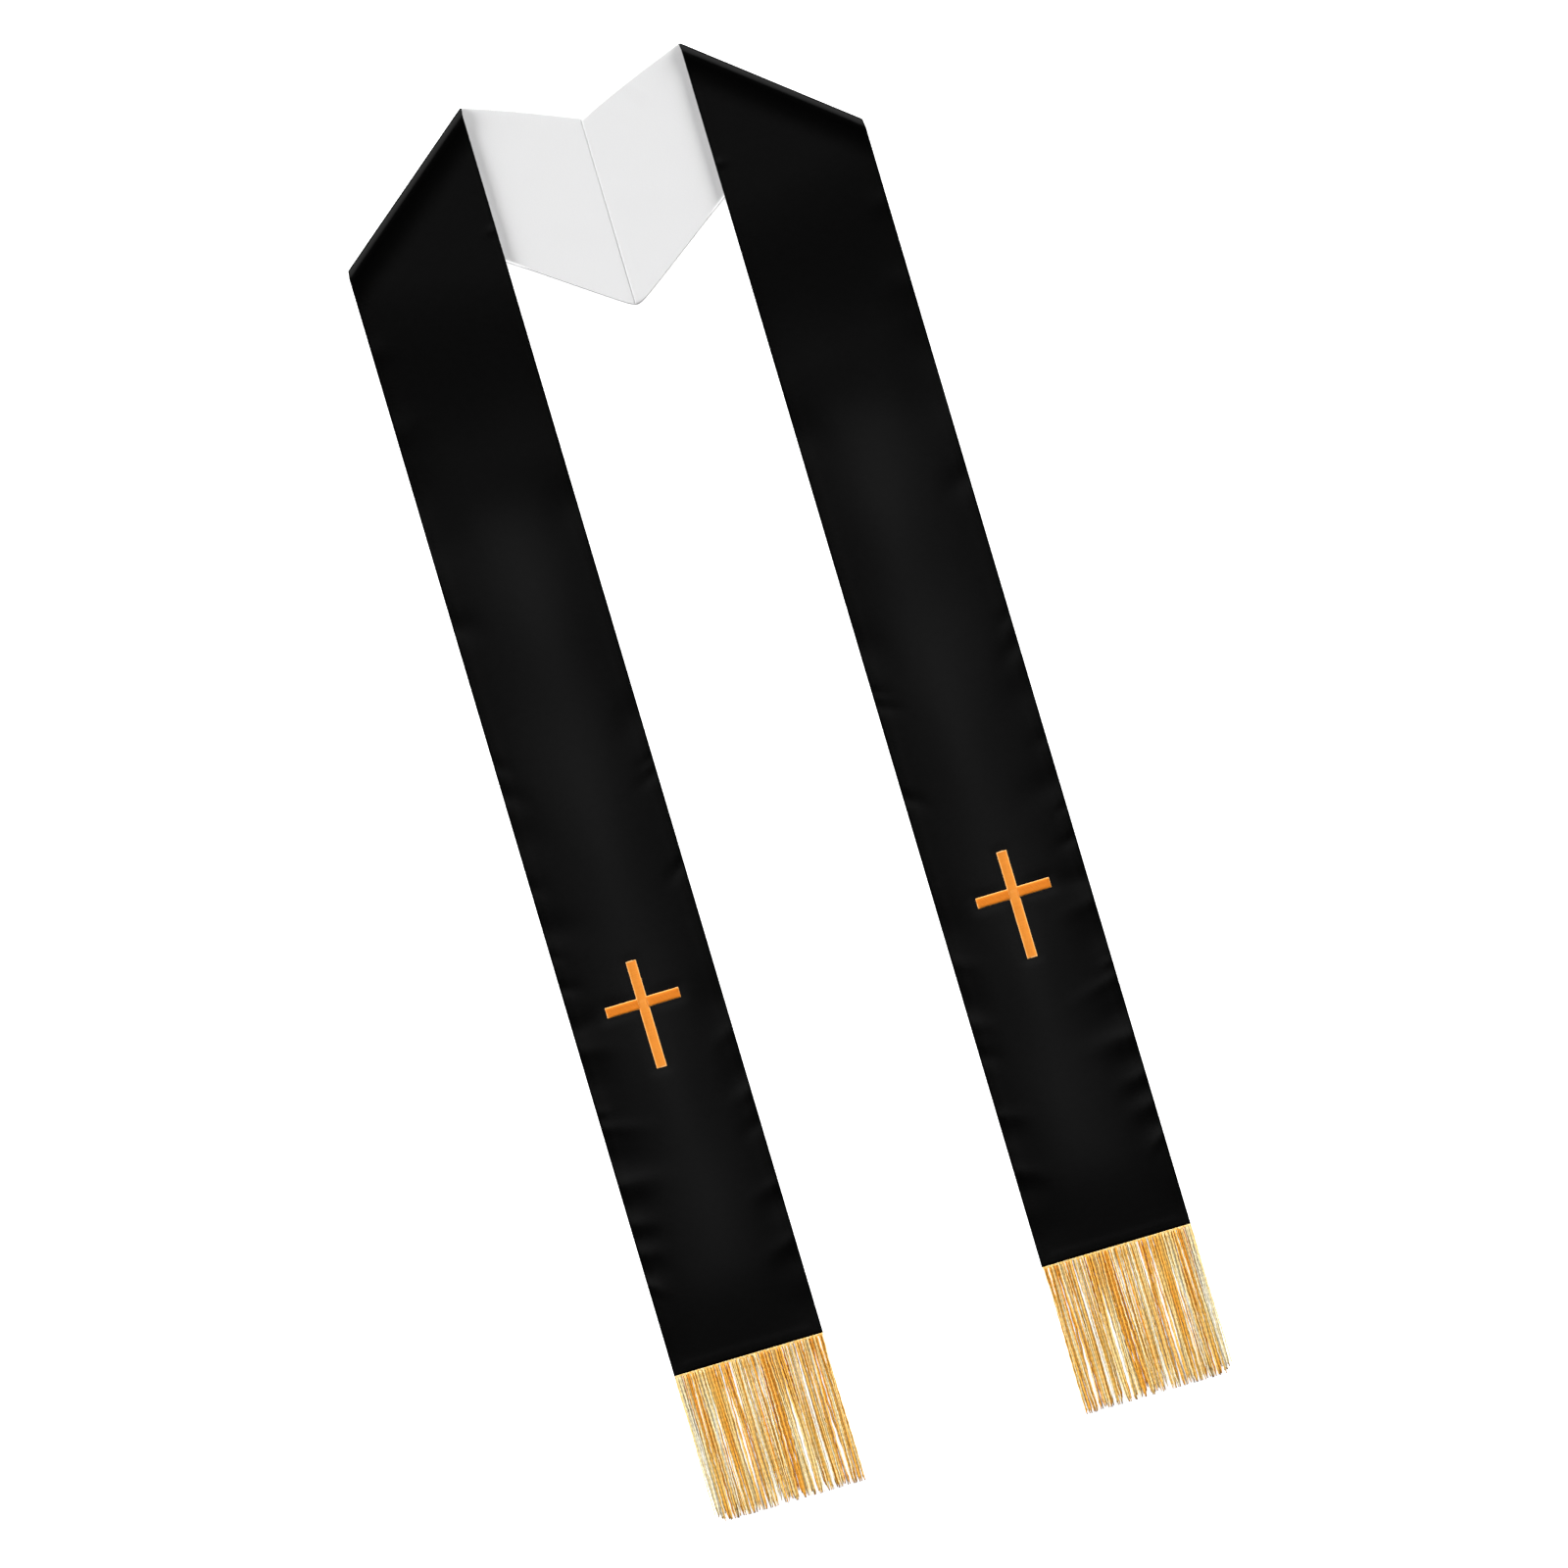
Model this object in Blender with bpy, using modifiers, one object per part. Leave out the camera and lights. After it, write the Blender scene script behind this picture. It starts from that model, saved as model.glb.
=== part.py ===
# Clerical stole, laid flat: two lappets side by side, folded over at the shoulders onto the back yoke.
# Metres, +Z up, +Y from the hem to the neck. The origin lies under the middle of the stole, on the
# surface that it rests on. A place on the stole is given as a reach, its distance from the centre line,
# and a drop, how far it lies below the top of the shoulders.

import math
import random
from collections import namedtuple

import bmesh
import bpy

# Outline, as it lies
STOLE_WIDTH = 0.127
NECK_GAP = 0.1866
SHOULDER_TO_HEM = 1.044
SHOULDER_SLOPE = math.radians(39.05)
FRINGE_DROP = 0.127

# Back yoke: its upper edge runs to a notch and its lower edge to a soft tip, both on the centre line
NECK_EDGE_SLOPE = math.radians(19.5)
NOTCH_DROP = 0.037
HIDDEN_EDGE_SLOPE = math.radians(11.2)
TIP_SLOPE = math.radians(35.9)
SHARP_TIP_DROP = 0.1992
TIP_SOFTNESS = 0.005
BEND_SOFTNESS = 0.0025

# Cloth
FACE_THICKNESS = 0.001
LINING_THICKNESS = 0.001
SEAM_GAP = 0.0003
ROLL_RADIUS = 0.0037
ROLL_EASE = 0.018
YOKE_MARGIN = 0.010
YOKE_RAMP = 0.042
COLUMNS = 6
ROLL_STEPS = 8

# Crosses
CROSS_HEIGHT = 0.0912
CROSS_WIDTH = 0.0628
CROSS_BAR = 0.0092
CROSSBAR_BELOW_TOP = 0.036
CROSS_ABOVE_HEM = 0.244
CROSS_THICKNESS = 0.0012
CROSS_EDGE = 0.0004

# Fringe
HEADING_DEPTH = 0.003
LOCK_WIDTH = 0.0016
LOCK_HEIGHT = 0.0008
LOCK_ROOT = 0.0015
SHORTEST_SHARE = 0.94
THINNEST_SHARE = 0.75
LOCK_WANDER = 0.00028
LEAN_REACH = 0.0012
LEAN_PITCH = 0.046

# Worked out from the sizes above
INNER_REACH = NECK_GAP / 2
OUTER_REACH = INNER_REACH + STOLE_WIDTH
SHOULDER_DROP = STOLE_WIDTH * math.tan(SHOULDER_SLOPE)
SHOULDER_TOP_Y = (SHOULDER_TO_HEM + FRINGE_DROP) / 2
PLY = FACE_THICKNESS + SEAM_GAP + LINING_THICKNESS
LAPPET_HEIGHT_ON_YOKE = 2 * PLY + SEAM_GAP
LINING_DEPTH = FACE_THICKNESS + SEAM_GAP

# Each row is one section across the cloth, from the lappet's outer edge to its inner edge
LappetSection = namedtuple("LappetSection", "outer_drop inner_drop")
LAPPET_SECTIONS = (
    LappetSection(1.0440, 1.0440),
    LappetSection(0.8800, 0.8800),
    LappetSection(0.6800, 0.6800),
    LappetSection(0.4800, 0.4800),
    LappetSection(0.3300, 0.3300),
    LappetSection(0.2300, 0.2300),
    LappetSection(0.1970, 0.1950),
    LappetSection(0.1850, 0.1800),
    LappetSection(0.1740, 0.1640),
    LappetSection(0.1650, 0.1480),
    LappetSection(0.1570, 0.1260),
    LappetSection(0.1500, 0.0950),
    LappetSection(0.1420, 0.0620),
)

# Each row is one section across the yoke, from its lower edge to its upper edge
YokeSection = namedtuple("YokeSection", "lower_reach upper_reach")
YOKE_SECTIONS = (
    YokeSection(0.1900, 0.0830),
    YokeSection(0.1600, 0.0720),
    YokeSection(0.1340, 0.0620),
    YokeSection(0.1150, 0.0530),
    YokeSection(0.1040, 0.0470),
    YokeSection(0.0933, 0.0410),
    YokeSection(0.0700, 0.0310),
    YokeSection(0.0450, 0.0200),
    YokeSection(0.0220, 0.0100),
    YokeSection(0.0100, 0.0050),
    YokeSection(0.0045, 0.0022),
    YokeSection(SEAM_GAP / 2, SEAM_GAP / 2),
)

# Each row is one distance behind the shoulder's roll, where the upper layer sinks from it
ROLL_DISTANCES = (0.018, 0.013, 0.009, 0.005, 0.002)

# Each row is one tier of the fringe's locks
Tier = namedtuple("Tier", "height locks")
TIERS = (
    Tier(0.0003, 62),
    Tier(0.0014, 61),
)

# Each row is one point along a lock: how far down it, and its width there
LockPoint = namedtuple("LockPoint", "share width")
LOCK_POINTS = (
    LockPoint(0.00, 0.80),
    LockPoint(0.34, 1.00),
    LockPoint(0.72, 0.90),
    LockPoint(1.00, 0.40),
)


def smooth_step(value):
    """0 below 0 and 1 above 1, with a soft start and end."""
    share = min(max(value, 0.0), 1.0)
    return share * share * (3 - 2 * share)


def upper_edge_drop(reach):
    """Drop of the yoke's upper edge: slightly curved, from the shoulder's inner corner to the notch."""
    inward = INNER_REACH - reach
    slope = math.tan(NECK_EDGE_SLOPE)
    curve = (NOTCH_DROP - slope * INNER_REACH) / INNER_REACH**2
    return slope * inward + curve * inward**2


def lower_edge_drop(reach):
    """Drop of the yoke's lower edge: two straight runs that bend softly into each other, and a soft tip."""
    hidden = SHOULDER_DROP + (OUTER_REACH - reach) * math.tan(HIDDEN_EDGE_SLOPE)
    shown = SHARP_TIP_DROP - math.hypot(reach, TIP_SOFTNESS) * math.tan(TIP_SLOPE)
    return (hidden + shown + math.hypot(hidden - shown, BEND_SOFTNESS)) / 2


def lappet_height(reach, drop):
    """Height of the lappet's upper side: it lies on the yoke, and below the yoke on the surface."""
    below_yoke = drop - lower_edge_drop(reach)
    on_yoke = 1 - smooth_step((below_yoke - YOKE_MARGIN) / YOKE_RAMP)
    from_fold = (drop - (reach - INNER_REACH) * math.tan(SHOULDER_SLOPE)) * math.cos(SHOULDER_SLOPE)
    on_roll = 1 - smooth_step((from_fold - ROLL_RADIUS) / ROLL_EASE)
    height = PLY + (LAPPET_HEIGHT_ON_YOKE - PLY) * on_yoke
    return height + (2 * ROLL_RADIUS - LAPPET_HEIGHT_ON_YOKE) * on_roll


def across(outer, inner):
    """Evenly spaced places from one end of a section to the other, both ends given as (reach, drop)."""
    for column in range(COLUMNS + 1):
        share = column / COLUMNS
        yield [start + (end - start) * share for start, end in zip(outer, inner)]


def lappet_section(row, depth):
    """A section of the lappet, so far under its upper side."""
    ends = (OUTER_REACH, row.outer_drop), (INNER_REACH, row.inner_drop)
    return [(reach, drop, lappet_height(reach, drop) - depth) for reach, drop in across(*ends)]


def beside_fold(distance):
    """The lappet's row that runs beside the shoulder's fold, this far inside it."""
    shift = distance / math.cos(SHOULDER_SLOPE)
    return LappetSection(SHOULDER_DROP + shift, shift)


def fold_end(reach, drop, inside, top_share, under_slope):
    """Where a line beside the fold meets an edge of the cloth, which turns from the lappet's to the yoke's."""
    lappet_turn = -math.tan(SHOULDER_SLOPE)
    yoke_turn = 1 / math.tan(SHOULDER_SLOPE + under_slope)
    along = inside * (lappet_turn * top_share + yoke_turn * (1 - top_share))
    cosine, sine = math.cos(SHOULDER_SLOPE), math.sin(SHOULDER_SLOPE)
    return reach - along * cosine - inside * sine, drop - along * sine + inside * cosine


def roll_section(angle, depth):
    """A section on the shoulder's roll: angle 0 is its top and 180 degrees is where it meets the yoke."""
    radius = ROLL_RADIUS - depth
    inside = ROLL_RADIUS - radius * math.sin(angle)
    top_share = (1 + math.cos(angle)) / 2
    outer = fold_end(OUTER_REACH, SHOULDER_DROP, inside, top_share, HIDDEN_EDGE_SLOPE)
    inner = fold_end(INNER_REACH, 0.0, inside, top_share, NECK_EDGE_SLOPE)
    height = ROLL_RADIUS + radius * math.cos(angle)
    return [(reach, drop, height) for reach, drop in across(outer, inner)]


def yoke_section(row, depth):
    """A section of the yoke, so far above its underside."""
    lower = row.lower_reach, lower_edge_drop(row.lower_reach)
    upper = row.upper_reach, upper_edge_drop(row.upper_reach)
    return [(reach, drop, depth) for reach, drop in across(lower, upper)]


def cloth_sections(depth):
    """All sections of one half, from the hem over the shoulder to the centre back."""
    sections = [lappet_section(row, depth) for row in LAPPET_SECTIONS]
    sections += [lappet_section(beside_fold(ROLL_RADIUS + back), depth) for back in ROLL_DISTANCES]
    sections += [roll_section(math.pi * step / ROLL_STEPS, depth) for step in range(ROLL_STEPS + 1)]
    sections += [yoke_section(row, depth) for row in YOKE_SECTIONS]
    return sections


def principled(name, colour, roughness):
    material = bpy.data.materials.new(name)
    material.use_nodes = True
    shader = material.node_tree.nodes["Principled BSDF"]
    shader.inputs["Base Color"].default_value = (*colour, 1)
    shader.inputs["Roughness"].default_value = roughness
    shader.inputs["Metallic"].default_value = 0
    material.diffuse_color = (*colour, 1)
    return material


def add_object(name, data, collection, parent=None):
    thing = bpy.data.objects.new(name, data)
    collection.objects.link(thing)
    thing.parent = parent
    return thing


def cloth_half(name, side, depth, thickness, material):
    """One ply of one half: an open surface through all sections, given its thickness inwards."""
    mesh = bpy.data.meshes.new(name)
    sheet = bmesh.new()
    rows = [
        [sheet.verts.new((side * reach, SHOULDER_TOP_Y - drop, height)) for reach, drop, height in section]
        for section in cloth_sections(depth)
    ]
    for row, next_row in zip(rows, rows[1:]):
        for column in range(COLUMNS):
            corners = row[column], row[column + 1], next_row[column + 1], next_row[column]
            sheet.faces.new(corners if side < 0 else corners[::-1])
    sheet.to_mesh(mesh)
    sheet.free()
    mesh.materials.append(material)
    mesh.shade_smooth()
    cloth = add_object(name, mesh, parts, stole)
    wall = cloth.modifiers.new("cloth thickness", "SOLIDIFY")
    wall.thickness = thickness
    wall.offset = -1
    wall.use_even_offset = True
    return cloth


def cross(name, side, material):
    """A Latin cross with softly rounded edges, lying on the lappet."""
    half_bar, half_width = CROSS_BAR / 2, CROSS_WIDTH / 2
    bar_top = CROSS_HEIGHT - CROSSBAR_BELOW_TOP + half_bar
    bar_bottom = bar_top - CROSS_BAR
    right_half = (
        (half_bar, 0.0),
        (half_bar, bar_bottom),
        (half_width, bar_bottom),
        (half_width, bar_top),
        (half_bar, bar_top),
        (half_bar, CROSS_HEIGHT),
    )
    outline = right_half + tuple((-x, y) for x, y in reversed(right_half))
    curve = bpy.data.curves.new(name, "CURVE")
    curve.dimensions = "2D"
    curve.fill_mode = "BOTH"
    curve.bevel_depth = CROSS_EDGE
    curve.bevel_resolution = 1
    curve.offset = -CROSS_EDGE
    curve.extrude = CROSS_THICKNESS / 2 - CROSS_EDGE
    spline = curve.splines.new("POLY")
    spline.points.add(len(outline) - 1)
    for point, (x, y) in zip(spline.points, outline):
        point.co = (x, y, 0, 1)
    spline.use_cyclic_u = True
    curve.materials.append(material)
    piece = add_object(name, curve, parts, stole)
    reach = INNER_REACH + STOLE_WIDTH / 2
    drop = SHOULDER_TO_HEM - CROSS_ABOVE_HEM
    height = lappet_height(reach, drop) + SEAM_GAP + CROSS_THICKNESS / 2
    piece.location = (side * reach, SHOULDER_TOP_Y - drop, height)
    return piece


def lock_profile():
    """The locks' section: a low triangle with its ridge up."""
    curve = bpy.data.curves.new("lock_profile", "CURVE")
    curve.dimensions = "2D"
    spline = curve.splines.new("POLY")
    spline.points.add(2)
    corners = (-LOCK_WIDTH / 2, 0.0), (0.0, LOCK_HEIGHT), (LOCK_WIDTH / 2, 0.0)
    for point, (x, y) in zip(spline.points, corners):
        point.co = (x, y, 0, 1)
    spline.use_cyclic_u = True
    profile = add_object("lock_profile", curve, helpers)
    profile.hide_render = True
    profile.display_type = "WIRE"
    return profile


def fringe_locks(name, side, profile):
    """All locks of one fringe as one mesh, each running down from inside the heading to an uneven end."""
    curve = bpy.data.curves.new(name, "CURVE")
    curve.dimensions = "3D"
    curve.twist_mode = "Z_UP"
    curve.bevel_mode = "OBJECT"
    curve.bevel_object = profile
    curve.use_fill_caps = True
    chance = random.Random(5)
    heading_end = SHOULDER_TO_HEM + SEAM_GAP + HEADING_DEPTH
    for tier in TIERS:
        pitch = STOLE_WIDTH / (TIERS[0].locks + 0.2)
        for number in range(tier.locks):
            place = (number - (tier.locks - 1) / 2) * pitch
            length = (SHOULDER_TO_HEM + FRINGE_DROP - heading_end) * chance.uniform(SHORTEST_SHARE, 1)
            lean = LEAN_REACH * math.sin(2 * math.pi * place / LEAN_PITCH)
            thickness = chance.uniform(THINNEST_SHARE, 1)
            spline = curve.splines.new("POLY")
            spline.points.add(len(LOCK_POINTS) - 1)
            for point, lock in zip(spline.points, LOCK_POINTS):
                wander = chance.uniform(-LOCK_WANDER, LOCK_WANDER) if lock.share else 0.0
                reach = INNER_REACH + STOLE_WIDTH / 2 + place + lean * lock.share + wander
                drop = heading_end + length * lock.share - (0 if lock.share else LOCK_ROOT)
                point.co = (side * reach, SHOULDER_TOP_Y - drop, tier.height, 1)
                point.radius = lock.width * thickness
    source = add_object(name, curve, helpers)
    bpy.context.view_layer.update()
    shaped = source.evaluated_get(bpy.context.evaluated_depsgraph_get())
    mesh = bpy.data.meshes.new_from_object(shaped)
    bpy.data.objects.remove(source)
    bpy.data.curves.remove(curve)
    closed = bmesh.new()
    closed.from_mesh(mesh)
    bmesh.ops.remove_doubles(closed, verts=closed.verts, dist=1e-6)
    bmesh.ops.recalc_face_normals(closed, faces=closed.faces)
    closed.to_mesh(mesh)
    closed.free()
    locks = add_object(name, mesh, helpers)
    locks.hide_render = True
    locks.display_type = "WIRE"
    return locks


def fringe(name, side, profile, material):
    """The narrow heading along the hem, with the locks' roots fused into it."""
    bpy.ops.mesh.primitive_cube_add(size=1)
    heading = bpy.context.object
    heading.name = name
    heading.data.name = name
    for corner in heading.data.vertices:
        corner.co.x *= STOLE_WIDTH
        corner.co.y *= HEADING_DEPTH
        corner.co.z *= PLY
    drop = SHOULDER_TO_HEM + SEAM_GAP + HEADING_DEPTH / 2
    heading.location = (side * (INNER_REACH + STOLE_WIDTH / 2), SHOULDER_TOP_Y - drop, PLY / 2)
    heading.data.materials.append(material)
    for old in heading.users_collection:
        old.objects.unlink(heading)
    parts.objects.link(heading)
    heading.parent = stole
    union = heading.modifiers.new("locks", "BOOLEAN")
    union.operation = "UNION"
    union.solver = "EXACT"
    union.object = fringe_locks(name + "_locks", side, profile)
    return heading


for old_object in list(bpy.data.objects):
    bpy.data.objects.remove(old_object)

parts = bpy.data.collections.new("clerical_stole")
helpers = bpy.data.collections.new("cutters")
for collection in (parts, helpers):
    bpy.context.scene.collection.children.link(collection)
stole = add_object("stole", None, parts)

black_satin = principled("black_satin", (0.008, 0.008, 0.009), 0.42)
white_lining = principled("white_lining", (0.80, 0.80, 0.80), 0.60)
gold_stitch = principled("gold_stitch", (0.95, 0.33, 0.06), 0.45)
gold_fringe = principled("gold_fringe", (0.85, 0.42, 0.09), 0.55)

profile = lock_profile()
for side_name, side in (("left", -1), ("right", 1)):
    cloth_half("face_" + side_name, side, 0.0, FACE_THICKNESS, black_satin)
    cloth_half("lining_" + side_name, side, LINING_DEPTH, LINING_THICKNESS, white_lining)
    cross("cross_" + side_name, side, gold_stitch)
    fringe("fringe_" + side_name, side, profile, gold_fringe)
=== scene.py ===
# Looks of a black clerical stole that lies flat: satin outside, white lining inside, gold crosses, fringes.
# Metres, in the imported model's frame: +Y from the hems to the neck, +Z up, the origin under the middle.

import math
import random
from collections import namedtuple

import bpy
import numpy as np
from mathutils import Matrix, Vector


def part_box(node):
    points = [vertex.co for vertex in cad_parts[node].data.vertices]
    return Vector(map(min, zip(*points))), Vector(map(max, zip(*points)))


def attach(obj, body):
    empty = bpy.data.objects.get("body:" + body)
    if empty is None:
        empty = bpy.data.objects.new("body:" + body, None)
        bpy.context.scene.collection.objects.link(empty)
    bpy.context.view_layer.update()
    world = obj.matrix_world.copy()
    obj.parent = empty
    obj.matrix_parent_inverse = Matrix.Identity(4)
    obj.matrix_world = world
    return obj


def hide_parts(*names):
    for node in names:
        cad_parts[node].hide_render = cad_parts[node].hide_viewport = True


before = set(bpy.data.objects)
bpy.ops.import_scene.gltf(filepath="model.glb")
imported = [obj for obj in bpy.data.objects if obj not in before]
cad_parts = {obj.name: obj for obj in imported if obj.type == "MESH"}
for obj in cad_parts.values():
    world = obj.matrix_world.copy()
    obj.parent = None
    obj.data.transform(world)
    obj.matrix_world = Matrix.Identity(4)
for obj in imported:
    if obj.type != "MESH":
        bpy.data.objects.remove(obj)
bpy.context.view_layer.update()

# Satin faces: the stole's black outer side, each half cut in one from the centre back to the hem.
# Heavy satin on a light interlining, sewn to the lining right sides together, turned and pressed, so that
# every edge is a soft fold. At the shoulder the cloth rolls over and runs on under the lappet as the yoke.
face_low, face_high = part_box("face_right")
STOLE_WIDTH = 0.127
NECK_GAP = 0.1866
SHOULDER_SLOPE = math.radians(39.05)
NECK_EDGE_SLOPE = math.radians(19.5)
NOTCH_DROP = 0.037
HIDDEN_EDGE_SLOPE = math.radians(11.2)
TIP_SLOPE = math.radians(35.9)
SHARP_TIP_DROP = 0.1992
TIP_SOFTNESS = 0.005
BEND_SOFTNESS = 0.0025
ROLL_RUN = 0.0055
ROLL_EASE = 0.028
ROLL_EASE_POWER = 3
YOKE_MARGIN = 0.010
YOKE_RAMP = 0.150
PLY = 0.0023
HEM_LOWER = 0.0012
LAYER_GAP = 0.0003

INNER_REACH = NECK_GAP / 2
OUTER_REACH = INNER_REACH + STOLE_WIDTH
SHOULDER_TOP = face_high.y
HEM_DROP = face_high.y - face_low.y + HEM_LOWER
ROLL_RADIUS = face_high.z / 2
SHOULDER_DROP = STOLE_WIDTH * math.tan(SHOULDER_SLOPE)
LAPPET_ON_YOKE = 2 * PLY + LAYER_GAP
SIDES = (("left", -1), ("right", 1))

CLOTH_STEP = 0.0032
ROLL_STEPS = 14
CLOTH_THICKNESS = 0.0004
SIDE_TURN = 0.0015
SIDE_CLOSE = 0.0017
HEM_CLOSE = 0.00075
SEAM_TURN = 0.0011
SEAM_CLOSE = 0.0007
SEAM_HALF_GAP = 0.00003
SEAM_LEFT_OF_MIDDLE = 0.0016
TURN_SHARES = (0.0, 0.049, 0.191, 0.412, 0.691, 1.0)
MARGIN_PLACES = (0.0032, 0.0046, 0.0062, 0.0080, 0.0100)
PRESSED_WIDTH = 0.0070
PRESSED_FADE = 0.0035
PRESSED_RISE = 0.00010

# The cross's outline, a little outward of the lappet's middle line, and how its stitches draw the satin in
CROSS_HEIGHT = 0.0912
CROSS_WIDTH = 0.0628
CROSS_BAR = 0.0092
CROSSBAR_BELOW_TOP = 0.036
CROSS_OUTWARD = 0.0013
CROSS_ABOVE_HEM = 0.2452
CROSS_MIDDLE = INNER_REACH + STOLE_WIDTH / 2 + CROSS_OUTWARD
CROSS_ARM_LEVEL = CROSS_HEIGHT - CROSSBAR_BELOW_TOP
CROSS_SINK = 0.00030
CROSS_SINK_REACH = 0.0040

# Short puckers that run in from an edge: a ridge where the rise is above 0, and a trough below 0
Pucker = namedtuple("Pucker", "edge drop run lean width rise")
PUCKERS = (
    Pucker("inner", 0.1037, 0.013, 0.05, 0.0016, 0.00045),
    Pucker("outer", 0.1720, 0.026, 0.10, 0.0080, 0.00028),
    Pucker("outer", 0.2410, 0.036, -0.10, 0.0110, 0.00030),
    Pucker("outer", 0.3000, 0.044, -0.10, 0.0280, -0.00080),
    Pucker("inner", 0.3340, 0.036, 0.10, 0.0180, -0.00050),
    Pucker("outer", 0.3400, 0.050, 0.00, 0.0200, -0.00045),
    Pucker("outer", 0.4060, 0.034, 0.30, 0.0095, -0.00045),
    Pucker("inner", 0.5150, 0.036, 0.40, 0.0160, -0.00045),
    Pucker("outer", 0.5240, 0.020, 0.60, 0.0060, -0.00030),
    Pucker("outer", 0.5490, 0.030, 0.60, 0.0080, -0.00040),
    Pucker("inner", 0.5540, 0.022, 0.35, 0.0034, -0.00027),
    Pucker("inner", 0.5660, 0.030, 0.45, 0.0047, -0.00032),
    Pucker("outer", 0.5880, 0.040, 0.10, 0.0150, -0.00040),
    Pucker("outer", 0.6300, 0.020, 0.20, 0.0056, -0.00027),
    Pucker("inner", 0.6440, 0.026, 0.60, 0.0054, -0.00040),
    Pucker("outer", 0.6660, 0.052, 0.15, 0.0106, -0.00045),
    Pucker("outer", 0.6880, 0.016, 0.40, 0.0034, -0.00027),
    Pucker("outer", 0.7147, 0.026, 0.25, 0.0045, -0.00040),
    Pucker("outer", 0.7500, 0.054, -0.15, 0.0078, -0.00049),
    Pucker("inner", 0.7600, 0.036, -0.10, 0.0180, -0.00060),
    Pucker("outer", 0.7690, 0.046, 0.15, 0.0056, 0.00035),
    Pucker("inner", 0.7860, 0.032, 0.40, 0.0056, 0.00027),
    Pucker("outer", 0.7950, 0.034, 0.10, 0.0146, -0.00049),
    Pucker("outer", 0.8205, 0.018, 0.15, 0.0029, 0.00027),
    Pucker("inner", 0.8210, 0.026, 0.20, 0.0129, -0.00049),
    Pucker("outer", 0.8340, 0.060, 0.25, 0.0047, 0.00035),
    Pucker("inner", 0.8380, 0.030, 0.30, 0.0058, 0.00035),
    Pucker("outer", 0.8610, 0.050, 0.15, 0.0118, -0.00049),
    Pucker("inner", 0.8650, 0.026, 0.35, 0.0062, -0.00040),
    Pucker("outer", 0.8840, 0.064, 0.05, 0.0069, 0.00051),
    Pucker("outer", 0.9010, 0.038, 0.10, 0.0090, -0.00045),
    Pucker("outer", 0.9165, 0.036, 0.20, 0.0047, 0.00031),
    Pucker("inner", 0.9170, 0.036, 0.25, 0.0047, 0.00035),
    Pucker("outer", 0.9290, 0.036, 0.10, 0.0069, -0.00040),
    Pucker("inner", 0.9330, 0.030, 0.15, 0.0101, -0.00040),
    Pucker("outer", 0.9420, 0.030, 0.15, 0.0047, 0.00027),
    Pucker("outer", 0.9570, 0.032, 0.10, 0.0078, -0.00040),
    Pucker("inner", 0.9640, 0.038, 0.35, 0.0062, 0.00039),
    Pucker("outer", 0.9680, 0.022, 0.60, 0.0047, 0.00035),
    Pucker("inner", 0.9820, 0.036, 0.10, 0.0123, -0.00040),
    Pucker("inner", 1.0200, 0.050, 0.00, 0.0200, -0.00050),
    Pucker("outer", 1.0300, 0.030, 0.00, 0.0200, -0.00035),
)

# Broad soft swells in the middle of a lappet; across runs from 0 at the outer edge to 1 at the inner edge
Swell = namedtuple("Swell", "across drop wide long rise")
SWELLS = (
    Swell(0.80, 0.290, 0.034, 0.045, 0.0006),
    Swell(0.60, 0.430, 0.034, 0.060, 0.0008),
    Swell(0.35, 0.500, 0.040, 0.055, -0.0004),
    Swell(0.55, 0.615, 0.026, 0.070, 0.0007),
    Swell(0.52, 0.820, 0.022, 0.060, 0.0007),
    Swell(0.60, 0.930, 0.030, 0.045, 0.0004),
)


def smooth_step(value):
    """0 below 0 and 1 above 1, with a soft start and end."""
    share = np.clip(value, 0, 1)
    return share * share * (3 - 2 * share)


def upper_edge_drop(reach):
    """How far the yoke's upper edge lies below the shoulders' top, at a distance from the centre line."""
    inward = INNER_REACH - np.abs(reach)
    slope = math.tan(NECK_EDGE_SLOPE)
    curve = (NOTCH_DROP - slope * INNER_REACH) / INNER_REACH**2
    return slope * inward + curve * inward**2


def lower_edge_drop(reach):
    """The same for the yoke's lower edge: two straight runs with a soft bend, and a soft tip."""
    hidden = SHOULDER_DROP + (OUTER_REACH - reach) * math.tan(HIDDEN_EDGE_SLOPE)
    shown = SHARP_TIP_DROP - np.hypot(reach, TIP_SOFTNESS) * math.tan(TIP_SLOPE)
    return (hidden + shown + np.hypot(hidden - shown, BEND_SOFTNESS)) / 2


def lappet_height(reach, drop):
    """The plain height of a lappet's upper side: on the yoke, and below the yoke on the surface."""
    on_yoke = 1 - smooth_step((drop - lower_edge_drop(reach) - YOKE_MARGIN) / YOKE_RAMP)
    from_fold = (drop - (reach - INNER_REACH) * math.tan(SHOULDER_SLOPE)) * math.cos(SHOULDER_SLOPE)
    on_roll = (1 - np.clip((from_fold - ROLL_RUN) / ROLL_EASE, 0, 1)) ** ROLL_EASE_POWER
    height = PLY + (LAPPET_ON_YOKE - PLY) * on_yoke
    return height + (2 * ROLL_RADIUS - LAPPET_ON_YOKE) * on_roll


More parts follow.
